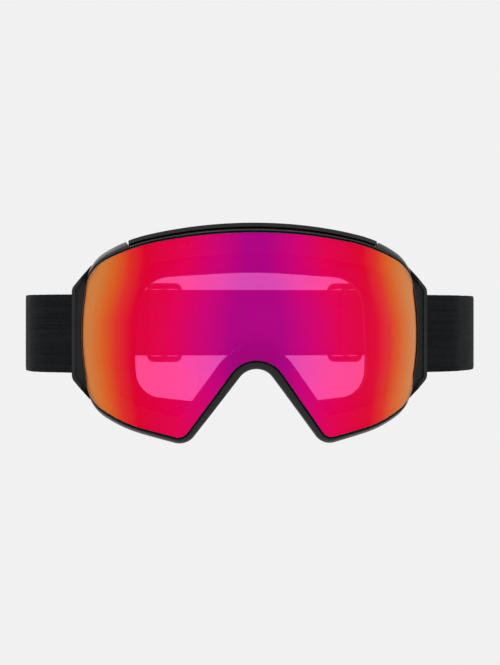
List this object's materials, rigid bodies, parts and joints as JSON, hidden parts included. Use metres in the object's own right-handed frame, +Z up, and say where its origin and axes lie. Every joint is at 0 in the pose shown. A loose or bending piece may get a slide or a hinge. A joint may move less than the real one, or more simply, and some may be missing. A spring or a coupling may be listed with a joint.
{
  "type": "ski goggles",
  "caption": "Toric magnetic-lens ski goggles: framed double lens, layered face foam, hinged strap clips and an adjustable elastic head strap.",
  "frame": {"origin": "middle of the face seat: the skin side of the fleece, between the eyes, at half the goggles' height", "axes": "+Z up, -Y the way the wearer looks, +X the right-hand side as seen by someone facing the lens"},
  "size_m": [0.2524, 0.2346, 0.107],
  "materials": {
    "lens_tint": "gloss",
    "clear_lens": "gloss",
    "gasket_foam": "matte",
    "frame_plastic": "satin",
    "magnet_steel": "gloss",
    "screw_steel": "satin",
    "pin_steel": "satin",
    "face_foam": "matte",
    "face_foam_soft": "matte",
    "fleece": "matte",
    "vent_foam": "matte",
    "buckle_plastic": "satin",
    "webbing": "matte"
  },
  "bodies": {
    "goggle_frame": {"frame": "frame_plastic", "frame_magnets": "magnet_steel", "brim": "frame_plastic", "outrigger_left": "frame_plastic", "outrigger_right": "frame_plastic", "outrigger_screws": "screw_steel", "face_foam_base": "face_foam", "face_foam_middle": "face_foam_soft", "face_fleece": "fleece", "top_vent_foam": "vent_foam", "bottom_vent_foam_left": "vent_foam", "bottom_vent_foam_right": "vent_foam", "hinge_pin_left": "pin_steel", "hinge_pin_right": "pin_steel", "strap_main": "webbing", "strap_loop_left": "webbing", "strap_loop_right": "webbing", "strap_return_left": "webbing", "strap_return_right": "webbing"},
    "lens_unit": {"outer_lens": "lens_tint", "inner_lens": "clear_lens", "lens_gasket": "gasket_foam", "lens_carrier": "frame_plastic", "carrier_magnets": "magnet_steel"},
    "clip_left": {"strap_clip_left": "buckle_plastic"},
    "clip_right": {"strap_clip_right": "buckle_plastic"},
    "buckle_left": {"slider_left": "buckle_plastic", "strap_tab_left": "webbing"},
    "buckle_right": {"slider_right": "buckle_plastic", "strap_tab_right": "webbing"}
  },
  "joints": [
    {"name": "lens_pull", "type": "slide", "parent": "goggle_frame", "child": "lens_unit", "axis": [0, -1, 0], "range_m": [0, 0.06]},
    {"name": "clip_left_hinge", "type": "hinge", "parent": "goggle_frame", "child": "clip_left", "pos_m": [-0.0828, 0.0224, -0.0006], "axis": [0, 0, 1], "range_deg": [-20, 20], "deforming": ["strap_loop_left"]},
    {"name": "clip_right_hinge", "type": "hinge", "parent": "goggle_frame", "child": "clip_right", "pos_m": [0.0828, 0.0224, -0.0006], "axis": [0, 0, 1], "range_deg": [-20, 20], "deforming": ["strap_loop_right"]},
    {"name": "slider_left_slide", "type": "slide", "parent": "goggle_frame", "child": "buckle_left", "axis": [1, 0, 0], "range_m": [0, 0.03], "deforming": ["strap_return_left"]},
    {"name": "slider_right_slide", "type": "slide", "parent": "goggle_frame", "child": "buckle_right", "axis": [-1, 0, 0], "range_m": [0, 0.03], "deforming": ["strap_return_right"]}
  ]
}
